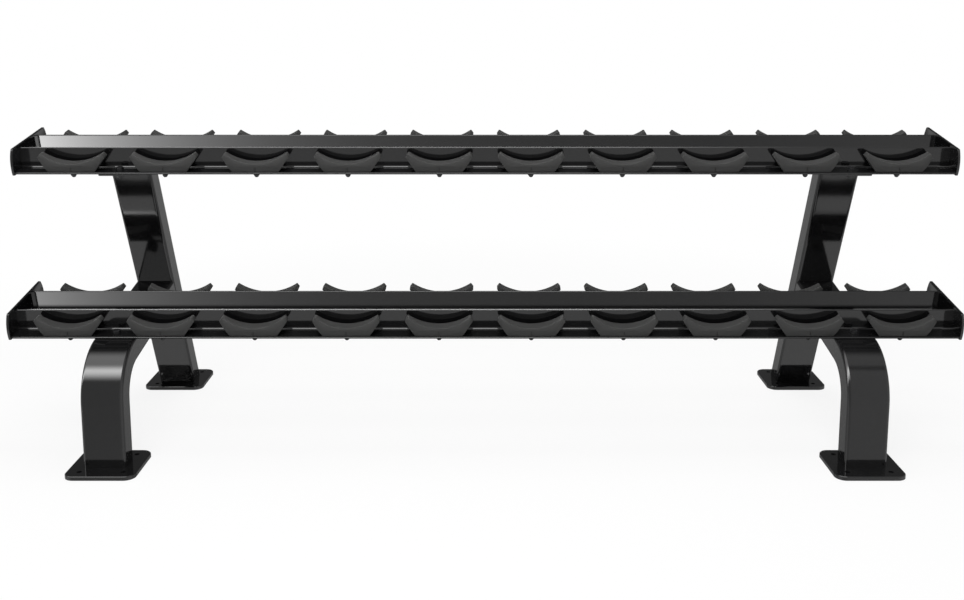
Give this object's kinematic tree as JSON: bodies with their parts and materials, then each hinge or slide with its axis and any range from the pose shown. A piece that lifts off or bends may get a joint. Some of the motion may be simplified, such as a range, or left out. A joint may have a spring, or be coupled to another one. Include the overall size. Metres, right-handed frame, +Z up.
{
  "type": "dumbbell rack",
  "caption": "Two-tier dumbbell rack: sloping pairs of angle rails with moulded saddles, on bent front legs and leaning rear uprights with base plates.",
  "frame": {"origin": "on the floor, under the middle of the rack's outer box", "axes": "+X along the rack to the right as seen from the front, +Y from the front to the back, +Z up"},
  "size_m": [2.36, 0.782, 0.797],
  "materials": {
    "gloss_black_paint": "gloss black powder coat on steel",
    "saddle_moulding": "matt dark grey moulding",
    "black_plated_steel": "black plate on steel"
  },
  "bodies": {
    "root": {"left_front_base_plate": "gloss_black_paint", "left_front_leg": "gloss_black_paint", "left_mount_plate": "gloss_black_paint", "left_rear_base_plate": "gloss_black_paint", "left_rear_upright": "gloss_black_paint", "lower_front_rail": "gloss_black_paint", "lower_front_saddle_01": "saddle_moulding", "lower_front_saddle_02": "saddle_moulding", "lower_front_saddle_03": "saddle_moulding", "lower_front_saddle_04": "saddle_moulding", "lower_front_saddle_05": "saddle_moulding", "lower_front_saddle_06": "saddle_moulding", "lower_front_saddle_07": "saddle_moulding", "lower_front_saddle_08": "saddle_moulding", "lower_front_saddle_09": "saddle_moulding", "lower_front_saddle_10": "saddle_moulding", "lower_left_end_plate": "gloss_black_paint", "lower_rear_rail": "gloss_black_paint", "lower_rear_saddle_01": "saddle_moulding", "lower_rear_saddle_02": "saddle_moulding", "lower_rear_saddle_03": "saddle_moulding", "lower_rear_saddle_04": "saddle_moulding", "lower_rear_saddle_05": "saddle_moulding", "lower_rear_saddle_06": "saddle_moulding", "lower_rear_saddle_07": "saddle_moulding", "lower_rear_saddle_08": "saddle_moulding", "lower_rear_saddle_09": "saddle_moulding", "lower_rear_saddle_10": "saddle_moulding", "lower_right_end_plate": "gloss_black_paint", "rail_bolts": "black_plated_steel", "right_front_base_plate": "gloss_black_paint", "right_front_leg": "gloss_black_paint", "right_mount_plate": "gloss_black_paint", "right_rear_base_plate": "gloss_black_paint", "right_rear_upright": "gloss_black_paint", "saddle_cap_nuts": "black_plated_steel", "upper_front_rail": "gloss_black_paint", "upper_front_saddle_01": "saddle_moulding", "upper_front_saddle_02": "saddle_moulding", "upper_front_saddle_03": "saddle_moulding", "upper_front_saddle_04": "saddle_moulding", "upper_front_saddle_05": "saddle_moulding", "upper_front_saddle_06": "saddle_moulding", "upper_front_saddle_07": "saddle_moulding", "upper_front_saddle_08": "saddle_moulding", "upper_front_saddle_09": "saddle_moulding", "upper_front_saddle_10": "saddle_moulding", "upper_left_end_plate": "gloss_black_paint", "upper_rear_rail": "gloss_black_paint", "upper_rear_saddle_01": "saddle_moulding", "upper_rear_saddle_02": "saddle_moulding", "upper_rear_saddle_03": "saddle_moulding", "upper_rear_saddle_04": "saddle_moulding", "upper_rear_saddle_05": "saddle_moulding", "upper_rear_saddle_06": "saddle_moulding", "upper_rear_saddle_07": "saddle_moulding", "upper_rear_saddle_08": "saddle_moulding", "upper_rear_saddle_09": "saddle_moulding", "upper_rear_saddle_10": "saddle_moulding", "upper_right_end_plate": "gloss_black_paint"}
  },
  "joints": []
}
